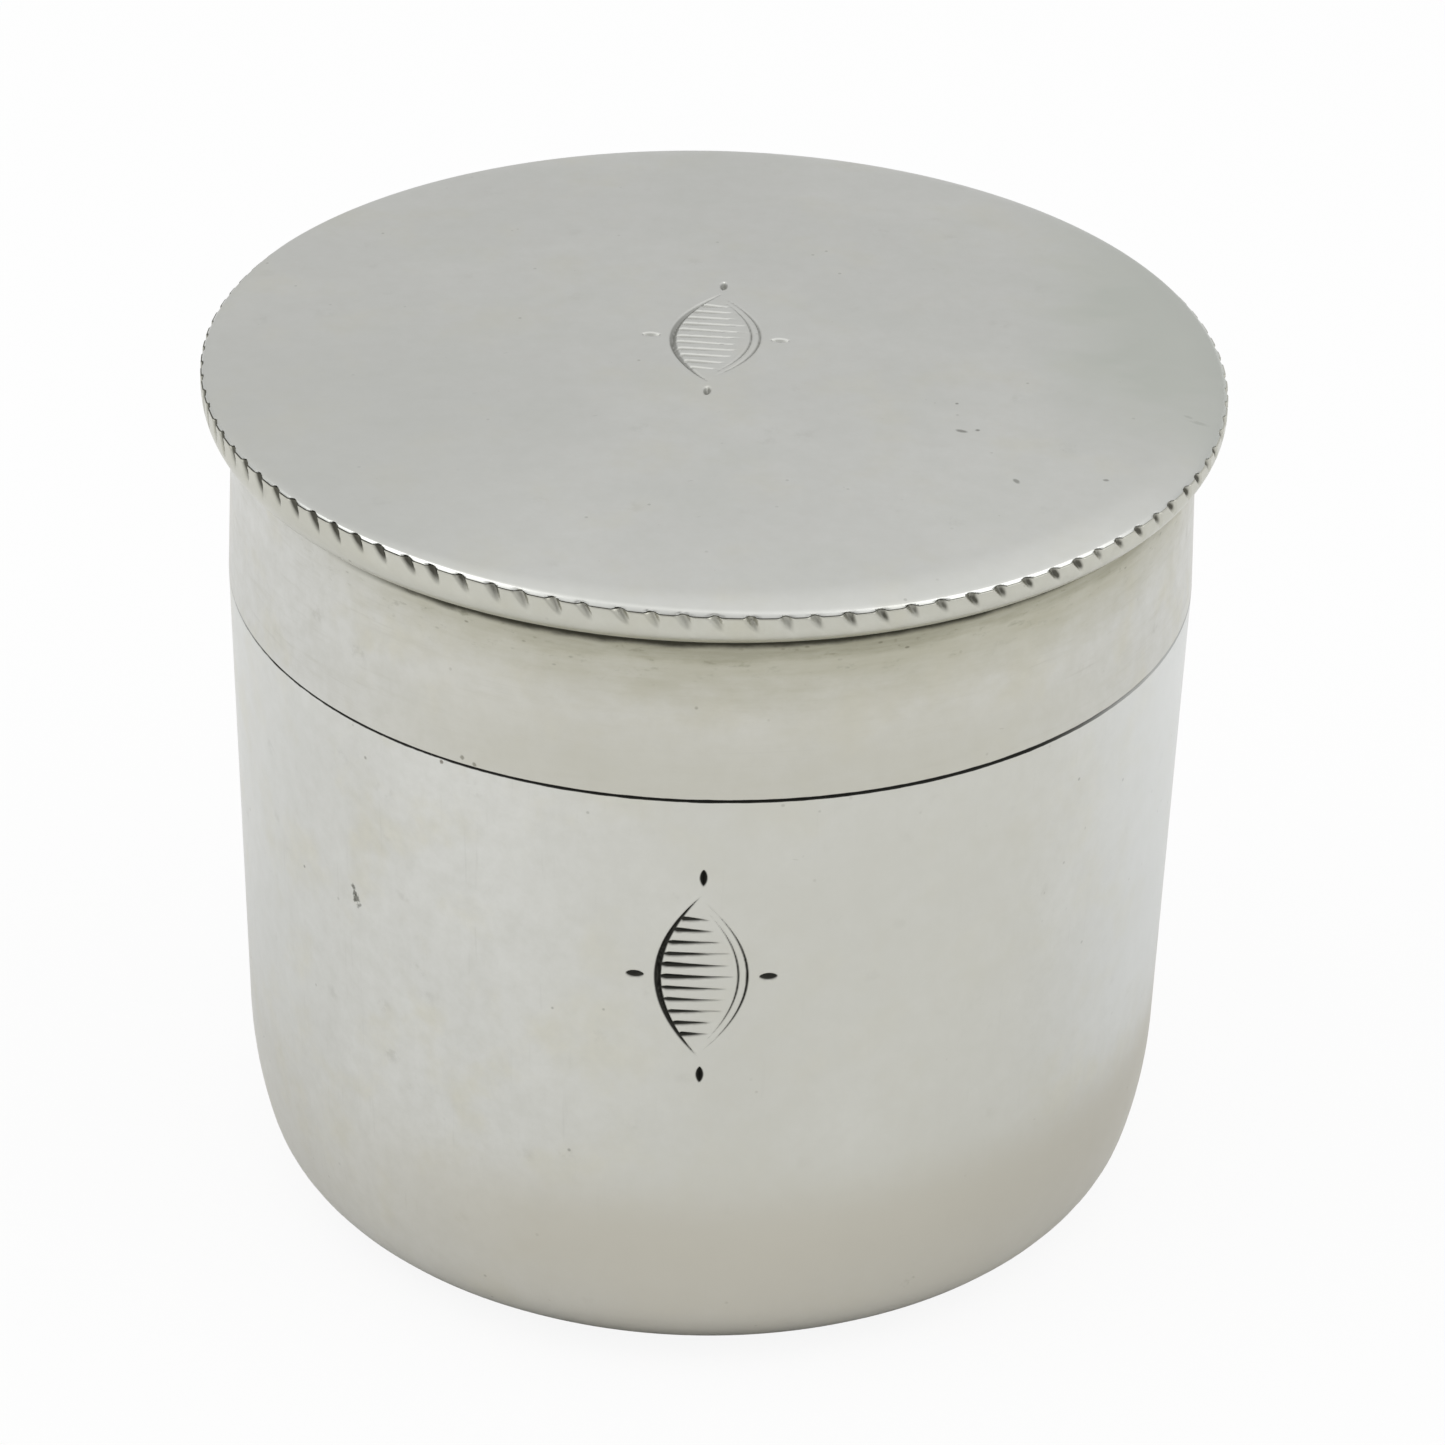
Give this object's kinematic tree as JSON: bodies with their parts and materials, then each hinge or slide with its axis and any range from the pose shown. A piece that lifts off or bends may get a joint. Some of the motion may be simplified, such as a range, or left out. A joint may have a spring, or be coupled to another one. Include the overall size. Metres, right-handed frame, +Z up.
{
  "type": "pill box",
  "caption": "Round silver pocket box for pills: plain cup with a rounded base, flush pull-off lid with a notched rope border, and a small engraved leaf on cup and lid.",
  "frame": {"origin": "centre of the flat base that the box stands on", "axes": "+Z up along the box's axis; -Y is the front, where the ornament on the cup faces"},
  "size_m": [0.0399, 0.0398, 0.0356],
  "materials": {
    "cup_silver": "satin silver, hand-worn, faint yellow tarnish",
    "collar_silver": "satin silver, rubbed where the lid slides",
    "band_silver": "satin silver, brushed round, tarnished under the border",
    "lid_silver": "satin silver, soft sheen, fine pits",
    "border_silver": "polished silver with dark cut notches"
  },
  "bodies": {
    "cup": {"body_shell": "cup_silver", "inner_collar": "collar_silver"},
    "lid": {"lid_band": "band_silver", "lid_plate": "lid_silver", "rope_border": "border_silver"}
  },
  "joints": [
    {"name": "lid_lift", "type": "slide", "parent": "cup", "child": "lid", "axis": [0, 0, 1], "range_m": [0, 0.045]}
  ]
}
